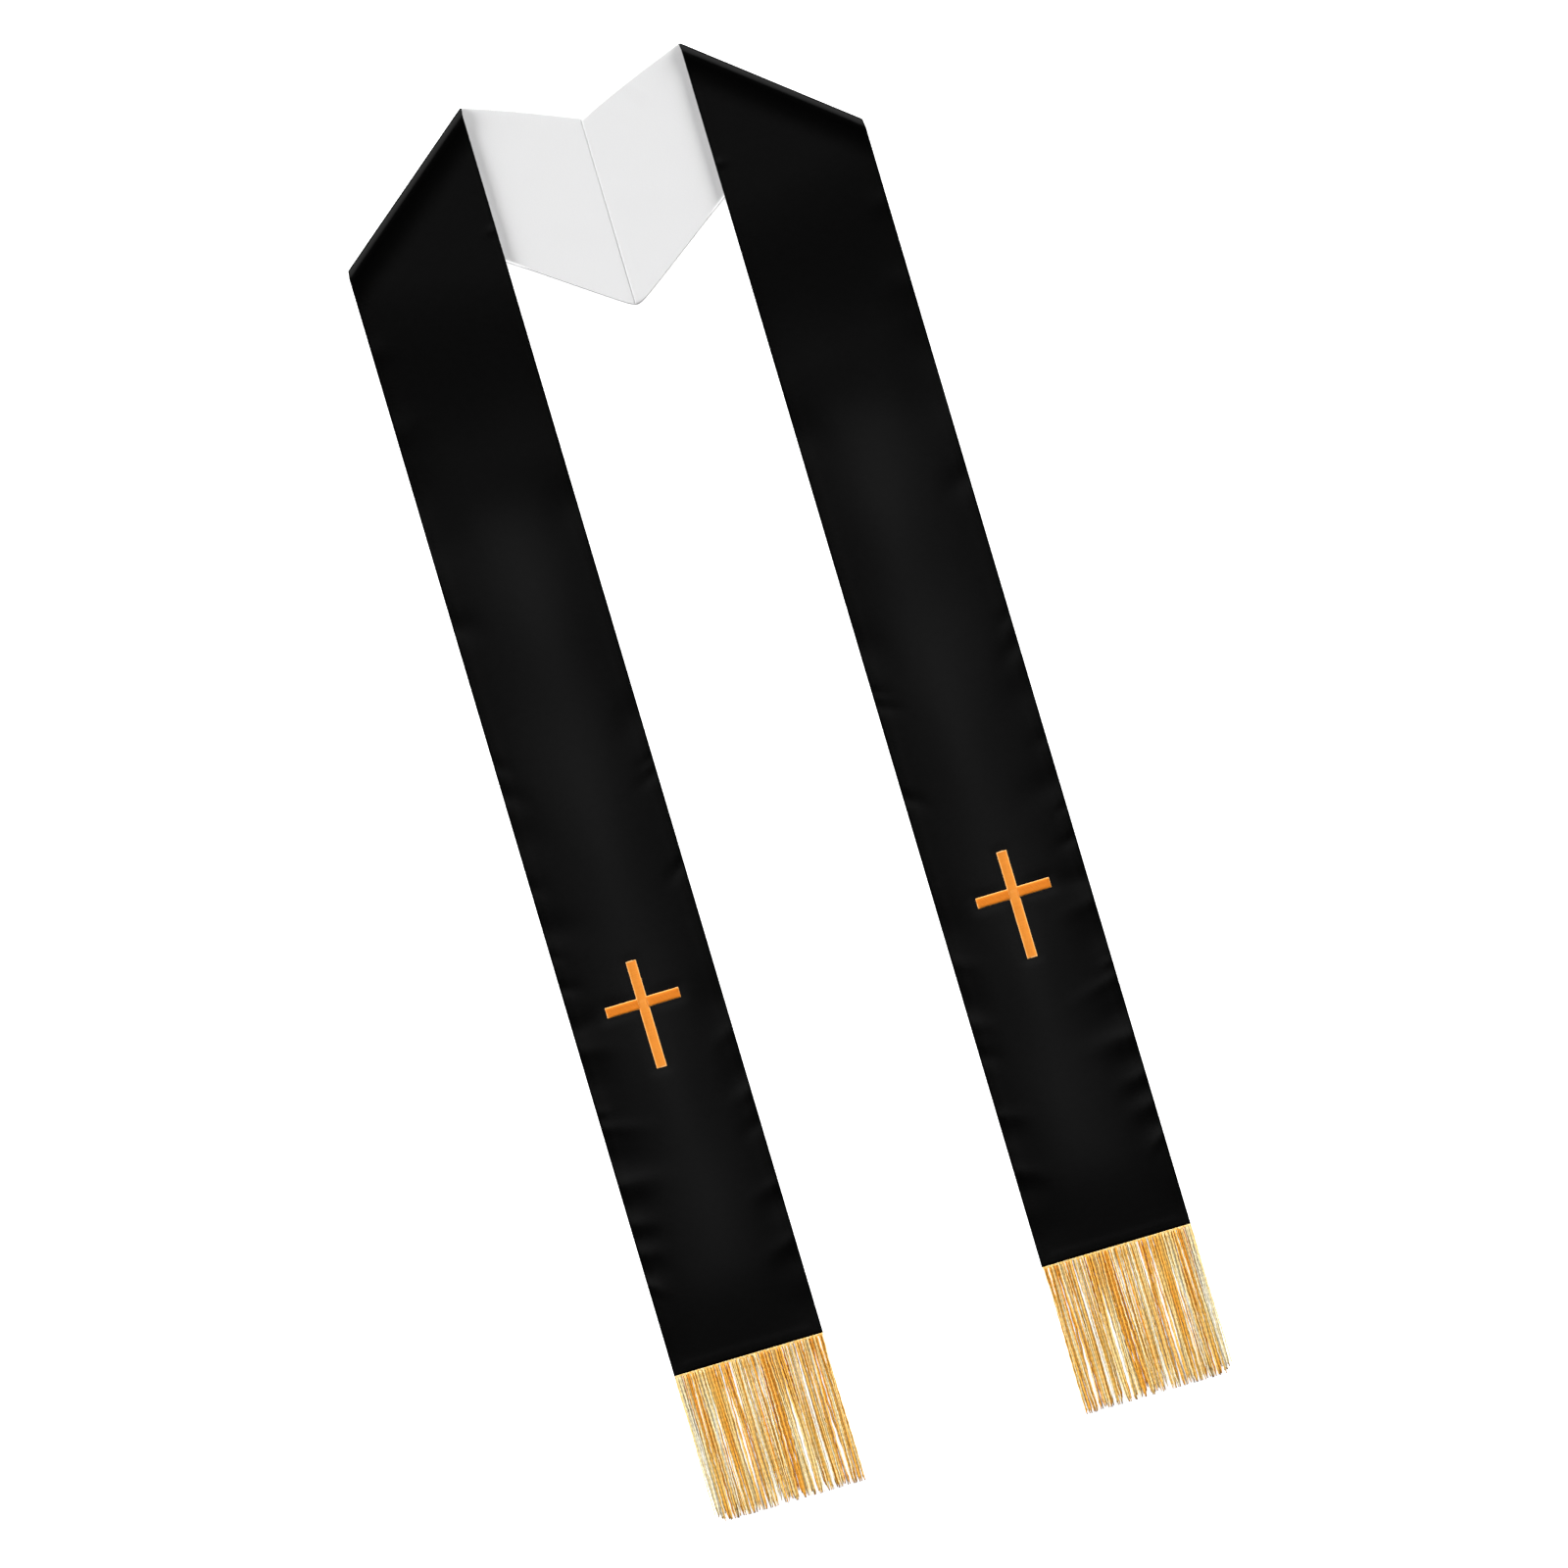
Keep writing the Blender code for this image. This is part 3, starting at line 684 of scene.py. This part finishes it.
def thread_material(name, colours, groove_shade, roughness, turns, relief):
    """Shiny twisted thread: its tone picks a colour, with painted shade in the hollows between its plies,
    darker by the given share.

    The first two colours are those of the lowest and the highest tone.
    """
    material = bpy.data.materials.new(name)
    material.use_nodes = True
    nodes, links = material.node_tree.nodes, material.node_tree.links
    shader = nodes["Principled BSDF"]
    place = nodes.new("ShaderNodeAttribute")
    place.attribute_name = "thread_place"
    parts = nodes.new("ShaderNodeSeparateXYZ")
    links.new(place.outputs["Vector"], parts.inputs["Vector"])
    around = nodes.new("ShaderNodeAttribute")
    around.attribute_name = "thread_round"
    twist = nodes.new("ShaderNodeGroup")
    twist.node_tree = thread_twist
    twist.inputs["Turns"].default_value = turns
    links.new(parts.outputs["X"], twist.inputs["Along"])
    links.new(around.outputs["Vector"], twist.inputs["Round"])
    ramp = nodes.new("ShaderNodeValToRGB")
    stops = ramp.color_ramp.elements
    end_stops = len(stops)
    for number, (position, colour) in enumerate(colours):
        stop = stops[number] if number < end_stops else stops.new(position)
        stop.position = position
        stop.color = (*colour, 1)
    links.new(parts.outputs["Y"], ramp.inputs["Fac"])
    # Painted shade: the colour darkens in the hollows between the plies, where the twist stripe is low
    depth = nodes.new("ShaderNodeMapRange")
    depth.inputs["To Min"].default_value = 1 - groove_shade
    links.new(twist.outputs["Twist"], depth.inputs["Value"])
    shaded = nodes.new("ShaderNodeVectorMath")
    shaded.operation = "SCALE"
    links.new(ramp.outputs["Color"], shaded.inputs["Vector"])
    links.new(depth.outputs["Result"], shaded.inputs["Scale"])
    links.new(shaded.outputs["Vector"], shader.inputs["Base Color"])
    gloss = nodes.new("ShaderNodeMapRange")
    gloss.inputs["To Min"].default_value = roughness[1]
    gloss.inputs["To Max"].default_value = roughness[0]
    links.new(twist.outputs["Twist"], gloss.inputs["Value"])
    links.new(gloss.outputs["Result"], shader.inputs["Roughness"])
    bump = nodes.new("ShaderNodeBump")
    bump.inputs["Strength"].default_value = relief
    bump.inputs["Distance"].default_value = THREAD_DEPTH
    links.new(twist.outputs["Twist"], bump.inputs["Height"])
    links.new(bump.outputs["Normal"], shader.inputs["Normal"])
    shader.inputs["Specular IOR Level"].default_value = THREAD_SHINE
    return material


# One gold thread in painted lit and shaded copies: the ramp's low end serves the shaded arms, its middle
# the post with its sheen, its high end the highlighted edges
CROSS_COLOURS = ((0.0, (0.64, 0.168, 0.006)), (1.0, (0.90, 0.52, 0.20)), (0.5, (0.79, 0.292, 0.036)))
gold_stitch = thread_material(
    "gold_stitch", CROSS_COLOURS, STITCH_GROOVE_SHADE, STITCH_ROUGHNESS, STITCH_TURNS, STITCH_RELIEF
)

for side_name, side in SIDES:
    chance = random.Random(STITCH_SEED)
    foot = SHOULDER_TOP - (HEM_DROP - CROSS_ABOVE_HEM)
    arm_level = foot + CROSS_ARM_LEVEL
    arm = ((CROSS_WIDTH - POST_WIDTH) / 2 + ARM_TUCK, 0)
    right_arm = (CROSS_MIDDLE + POST_WIDTH / 2 - ARM_TUCK, arm_level)
    left_arm = (CROSS_MIDDLE - CROSS_WIDTH / 2, arm_level)
    bars = [
        stitched_bar((CROSS_MIDDLE, foot), (0, CROSS_HEIGHT), POST_WIDTH, POST_SLANT, POST_SHEEN_TONE, chance),
        stitched_bar(right_arm, arm, CROSS_BAR, ARM_SLANT, ARM_SHADE_TONE, chance),
        stitched_bar(left_arm, arm, CROSS_BAR, ARM_SLANT, ARM_SHADE_TONE, chance),
    ]
    paths, radii, tones = (np.array(sum(parts, [])) for parts in zip(*bars))
    # Painted sheen: the stitches near the crossing are made paler
    from_middle = paths[:, :, 0] - CROSS_MIDDLE
    from_crossing = np.hypot(from_middle, paths[:, :, 1] - arm_level)
    pale = (CROSSING_SHEEN_TONE - POST_SHEEN_TONE) * (1 - smooth_step(from_crossing / CROSS_BAR))
    tones = np.where(tones < EDGE_HIGHLIGHT_TONE, tones + pale, tones)
    paths[:, :, 0] = side * (CROSS_MIDDLE + side * from_middle)
    cross = tubes("embroidered_cross_" + side_name, paths, radii, STITCH_SIDES, STITCH_ASIDE, tones)
    cross.data.materials.append(gold_stitch)
    cross.parent = satin_faces[side]
    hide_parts("cross_" + side_name)

# Fringes: 127 mm of gold rayon cords sewn into each hem, with a narrow chain-stitched heading.
# Thick twisted cords lie in two rows under a row of finer ones, of orange gold, amber, cream and greyish
# thread. They hang straight, wander a little, end unevenly and thin out to darker tips.
fringe_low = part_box("fringe_right")[0]
HEM_Y = SHOULDER_TOP - HEM_DROP
FRINGE_DROP = HEM_Y - fringe_low.y
CordRow = namedtuple("CordRow", "height cords thin thick tone")
CORD_ROWS = (
    CordRow(0.0010, 60, 0.00085, 0.00105, 0.52),
    CordRow(0.0019, 54, 0.00060, 0.00090, 0.60),
    CordRow(0.0027, 50, 0.00030, 0.00050, 0.46),
)
CORD_POINTS = 54
CORD_SIDES = 6
CORD_SEED = 23
CORD_SHUFFLE = 0.4
CORD_SWAY = 0.0012
SWAY_SHARES = (0.2, 1)
SWAY_TURNS = (2, 6)
CRINKLE = 0.00022
CRINKLE_SHARES = (0.3, 1)
CRINKLE_TURNS = (45, 90)
CORD_WAVE_RISE = 0.0002
WAVE_TURNS = (4, 9)
CORD_LEAN = 0.0022
CORD_SHORTENING = 0.070
FRINGE_SPREAD = 0.0005
SHORT_OUTER_SHARE = 0.05
SHORT_OUTER = 0.035
TIP_THINNING = 0.6
TIP_REACH = 0.05
ROOT_THINNING = 0.55
ROOT_THIN_REACH = 0.03
CORD_TURNS = 1500
# The next value is the share of painted shade in the hollows between a cord's plies
CORD_GROOVE_SHADE = 0.20
CORD_ROUGHNESS = (0.42, 0.55)
CORD_RELIEF = 0.5
TONE_RANGE = 0.30
DARKEST_CORD = 0.9
BROAD_DRIFT = 0.10
BROAD_DRIFT_TURNS = 23
ROW_DRIFT_TURNS = 40
FINE_DRIFT = 0.08
FINE_DRIFT_TURNS = 51
ALONG_DRIFT = 0.14
ALONG_DRIFT_TURNS = (3, 8)
ROOT_SHIFT = 0.08
ROOT_REACH = 0.35
TIP_TONE = 0.985
TIP_START = 0.988
PALE_OUTER_SHARE = 0.16
PALE_OUTER_SHIFT = 0.30
HEADING_ROOT = 0.0006
HEADING_DEPTH = 0.0018
HEADING_CORDS = 2
HEADING_CORD_RADIUS = 0.00050
HEADING_CORD_POINTS = 180
HEADING_CORD_PITCH = 0.0026
HEADING_WAVE_RISE = 0.0001
HEADING_WAVE_SWAY = 0.00015
HEADING_SWELL = 0.16
HEADING_TONE = 0.45
HEADING_TONE_SWING = 0.10
HEADING_TONE_PITCH = 0.37


def cord_tone(spot, row, chance):
    """A cord's tone, from greyish cream at 0 to deep amber. It changes from cord to cord along the hem."""
    drift = BROAD_DRIFT * math.sin(spot * BROAD_DRIFT_TURNS + row.tone * ROW_DRIFT_TURNS)
    drift += FINE_DRIFT * math.sin(spot * FINE_DRIFT_TURNS)
    paler = PALE_OUTER_SHIFT * smooth_step((spot - 1 + PALE_OUTER_SHARE) / PALE_OUTER_SHARE)
    tone = row.tone + drift - paler + chance.uniform(-TONE_RANGE, TONE_RANGE)
    return min(max(tone, 0.0), DARKEST_CORD)


def fringe_cords(side_name, side):
    """All cords of one fringe, from inside the hem to their uneven ends."""
    chance = random.Random(CORD_SEED)
    share = np.linspace(0, 1, CORD_POINTS)
    paths, radii, tones = [], [], []
    for row in CORD_ROWS:
        inner_start = INNER_REACH + row.thick - FRINGE_SPREAD
        width = STOLE_WIDTH - 2 * (row.thick - FRINGE_SPREAD)
        for number in range(row.cords):
            spot = (number + 0.5 + chance.uniform(-CORD_SHUFFLE, CORD_SHUFFLE)) / row.cords
            wander = chance.uniform(0, 2 * math.pi)
            sway = CORD_SWAY * chance.uniform(*SWAY_SHARES)
            sway = sway * np.sin(share * chance.uniform(*SWAY_TURNS) + wander)
            lean = CORD_LEAN * chance.uniform(-1, 1) * share
            crinkle = CRINKLE * chance.uniform(*CRINKLE_SHARES)
            crinkle = crinkle * np.sin(share * chance.uniform(*CRINKLE_TURNS) + wander)
            middle = inner_start + spot * width + sway - sway[0] + lean
            reach = np.clip(middle, inner_start, inner_start + width) + crinkle
            outer = SHORT_OUTER * smooth_step((spot - 1 + SHORT_OUTER_SHARE) / SHORT_OUTER_SHARE)
            length = (FRINGE_DROP + HEADING_ROOT) * (1 - outer - CORD_SHORTENING * chance.random() ** 3)
            y = HEM_Y + HEADING_ROOT - length * share
            rise = row.height + CORD_WAVE_RISE * np.sin(share * chance.uniform(*WAVE_TURNS) + wander)
            rise[0] = PLY / 2
            paths.append(np.column_stack([side * reach, y, rise]))
            thin_tip = TIP_THINNING * smooth_step((share - 1 + TIP_REACH) / TIP_REACH)
            thin_root = ROOT_THINNING * (1 - smooth_step(share / ROOT_THIN_REACH))
            radii.append(chance.uniform(row.thin, row.thick) * (1 - thin_tip - thin_root))
            drift = ALONG_DRIFT * np.sin(share * chance.uniform(*ALONG_DRIFT_TURNS) + wander)
            golden = ROOT_SHIFT * (1 - smooth_step(share / ROOT_REACH))
            tone = np.clip(cord_tone(spot, row, chance) + drift + golden, 0, DARKEST_CORD)
            tones.append(np.where(share > TIP_START, TIP_TONE, tone))
    paths, radii, tones = np.array(paths), np.array(radii), np.array(tones)
    return tubes("fringe_cords_" + side_name, paths, radii, CORD_SIDES, (1, 0, 0), tones)


def fringe_heading(side_name, side):
    """The heading: rows of chain stitch across the fringe's roots, close below the hem."""
    share = np.linspace(0, 1, HEADING_CORD_POINTS)
    paths, radii, tones = [], [], []
    for row in range(HEADING_CORDS):
        y = HEM_Y - (row + 0.5) * HEADING_DEPTH / HEADING_CORDS
        wave = 2 * math.pi * share * STOLE_WIDTH / HEADING_CORD_PITCH + row
        x = INNER_REACH + HEADING_CORD_RADIUS + (STOLE_WIDTH - 2 * HEADING_CORD_RADIUS) * share
        height = PLY - HEADING_CORD_RADIUS + HEADING_WAVE_RISE * np.sin(wave)
        paths.append(np.column_stack([side * x, y + HEADING_WAVE_SWAY * np.cos(wave), height]))
        radii.append(HEADING_CORD_RADIUS * (1 + HEADING_SWELL * np.sin(wave)))
        tones.append(HEADING_TONE + HEADING_TONE_SWING * np.sin(wave * HEADING_TONE_PITCH))
    paths, radii, tones = np.array(paths), np.array(radii), np.array(tones)
    return tubes("fringe_heading_" + side_name, paths, radii, CORD_SIDES, (0, 1, 0), tones)


CORD_COLOURS = (
    (0.00, (0.80, 0.75, 0.65)),
    (1.00, (0.22, 0.12, 0.05)),
    (0.20, (0.89, 0.82, 0.57)),
    (0.38, (0.87, 0.68, 0.31)),
    (0.56, (0.88, 0.54, 0.134)),
    (0.76, (0.88, 0.44, 0.055)),
    (0.90, (0.79, 0.32, 0.030)),
)
gold_fringe = thread_material(
    "gold_fringe", CORD_COLOURS, CORD_GROOVE_SHADE, CORD_ROUGHNESS, CORD_TURNS, CORD_RELIEF
)

for side_name, side in SIDES:
    cords = fringe_cords(side_name, side)
    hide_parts("fringe_" + side_name)
    heading = fringe_heading(side_name, side)
    for piece in (cords, heading):
        piece.data.materials.append(gold_fringe)
        piece.parent = satin_faces[side]

# Floor, light and camera: the stole is seen from straight above, cut out on white, on a sheet that only
# the camera sees as white. A big reflector fills the neck's side of the room, two low lights at the sides
# let the lappets shade the yoke's lining, and a dim narrow strip hangs over the middle of each lappet.
FLOOR_SIZE = 9
FLOOR_BELOW = 0.0003
FLOOR_DARK = (0.03, 0.03, 0.03)
FLOOR_WHITE = (0.92, 0.92, 0.92)
FLOOR_GLOW = 0.9
FLOOR_ROUGHNESS = 0.9
WHITE_LIGHT = (1, 1, 1, 1)
LOOK_AT_X = 0.0034
LOOK_AT_Y = -0.0204
VIEW_WIDTH = 1.283
VIEW_TURN = math.radians(-16.5)
LENS = 500
SENSOR = 36
REFLECTOR_GLOW = 1.5
REFLECTOR_START = -0.10
REFLECTOR_FULL = 0.46
ROOM_GLOW = 0.030
REFLECTOR_NARROWING = 0.3

Strip = namedtuple("Strip", "name x y z width length power")
STRIPS = (
    Strip("left_strip", -0.157, -0.07, 0.22, 0.055, 0.66, 0.0425),
    Strip("right_strip", 0.157, -0.07, 0.22, 0.055, 0.66, 0.0425),
)
LowLight = namedtuple("LowLight", "name turn")
LOW_LIGHTS = (LowLight("left_low_light", -65), LowLight("right_low_light", 65))
LOW_LIGHT_RISE = math.radians(14)
LOW_LIGHT_SPREAD = math.radians(28)
LOW_LIGHT_STRENGTH = 5.2

bpy.ops.mesh.primitive_plane_add(size=FLOOR_SIZE, location=(0, 0, -FLOOR_BELOW))
floor = bpy.context.object
floor.name = "floor"
floor_material = bpy.data.materials.new("floor")
floor_material.use_nodes = True
floor_shader = floor_material.node_tree.nodes["Principled BSDF"]
floor_shader.inputs["Roughness"].default_value = FLOOR_ROUGHNESS
floor_shader.inputs["Emission Color"].default_value = WHITE_LIGHT
floor_nodes, floor_links = floor_material.node_tree.nodes, floor_material.node_tree.links
seen = floor_nodes.new("ShaderNodeLightPath")
floor_colour = floor_nodes.new("ShaderNodeMix")
floor_colour.data_type = "RGBA"
floor_colour.inputs["A"].default_value = (*FLOOR_DARK, 1)
floor_colour.inputs["B"].default_value = (*FLOOR_WHITE, 1)
floor_links.new(seen.outputs["Is Camera Ray"], floor_colour.inputs["Factor"])
floor_links.new(floor_colour.outputs["Result"], floor_shader.inputs["Base Color"])
floor_white = floor_nodes.new("ShaderNodeMath")
floor_white.operation = "MULTIPLY"
floor_white.inputs[1].default_value = FLOOR_GLOW
floor_links.new(seen.outputs["Is Camera Ray"], floor_white.inputs[0])
floor_links.new(floor_white.outputs["Value"], floor_shader.inputs["Emission Strength"])
floor.data.materials.append(floor_material)


def add_lamp(name, kind, place, aim, glints):
    """A lamp at a place, turned to shine at a point; glints says whether glossy cloth mirrors it."""
    lamp = bpy.data.lights.new(name, kind)
    lamp_object = bpy.data.objects.new(name, lamp)
    bpy.context.scene.collection.objects.link(lamp_object)
    lamp_object.location = place
    lamp_object.visible_camera = False
    lamp_object.visible_glossy = glints
    lamp_object.rotation_euler = (Vector(aim) - Vector(place)).to_track_quat("-Z", "Y").to_euler()
    return lamp


for strip in STRIPS:
    lamp = add_lamp(strip.name, "AREA", (strip.x, strip.y, strip.z), (strip.x, strip.y, 0), True)
    lamp.shape = "RECTANGLE"
    lamp.size = strip.width
    lamp.size_y = strip.length
    lamp.energy = strip.power

for light in LOW_LIGHTS:
    turn = math.radians(light.turn)
    place = (math.sin(turn), math.cos(turn), math.tan(LOW_LIGHT_RISE))
    lamp = add_lamp(light.name, "SUN", place, (0, 0, 0), False)
    lamp.angle = LOW_LIGHT_SPREAD
    lamp.energy = LOW_LIGHT_STRENGTH

world = bpy.data.worlds.new("studio")
world.use_nodes = True
world_nodes, world_links = world.node_tree.nodes, world.node_tree.links
direction = world_nodes.new("ShaderNodeTexCoord")
neckward = world_nodes.new("ShaderNodeSeparateXYZ")
world_links.new(direction.outputs["Generated"], neckward.inputs["Vector"])
sideways = world_nodes.new("ShaderNodeMath")
sideways.operation = "ABSOLUTE"
world_links.new(neckward.outputs["X"], sideways.inputs[0])
narrowed = world_nodes.new("ShaderNodeMath")
narrowed.operation = "MULTIPLY_ADD"
narrowed.inputs[1].default_value = -REFLECTOR_NARROWING
world_links.new(sideways.outputs["Value"], narrowed.inputs[0])
world_links.new(neckward.outputs["Y"], narrowed.inputs[2])
glow = world_nodes.new("ShaderNodeMapRange")
glow.interpolation_type = "SMOOTHSTEP"
glow.inputs["From Min"].default_value = REFLECTOR_START
glow.inputs["From Max"].default_value = REFLECTOR_FULL
glow.inputs["To Min"].default_value = ROOM_GLOW
glow.inputs["To Max"].default_value = REFLECTOR_GLOW
world_links.new(narrowed.outputs["Value"], glow.inputs["Value"])
rays = world_nodes.new("ShaderNodeLightPath")
backdrop = world_nodes.new("ShaderNodeMath")
backdrop.operation = "MAXIMUM"
world_links.new(glow.outputs["Result"], backdrop.inputs[0])
world_links.new(rays.outputs["Is Camera Ray"], backdrop.inputs[1])
world_links.new(backdrop.outputs["Value"], world_nodes["Background"].inputs["Strength"])
world_nodes["Background"].inputs["Color"].default_value = WHITE_LIGHT
bpy.context.scene.world = world
bpy.context.scene.view_settings.view_transform = "Standard"

camera_data = bpy.data.cameras.new("camera")
camera_data.lens = LENS
camera_data.sensor_width = SENSOR
camera = bpy.data.objects.new("camera", camera_data)
bpy.context.scene.collection.objects.link(camera)
camera.location = (LOOK_AT_X, LOOK_AT_Y, VIEW_WIDTH * LENS / SENSOR)
camera.rotation_euler = (0, 0, VIEW_TURN)
bpy.context.scene.camera = camera
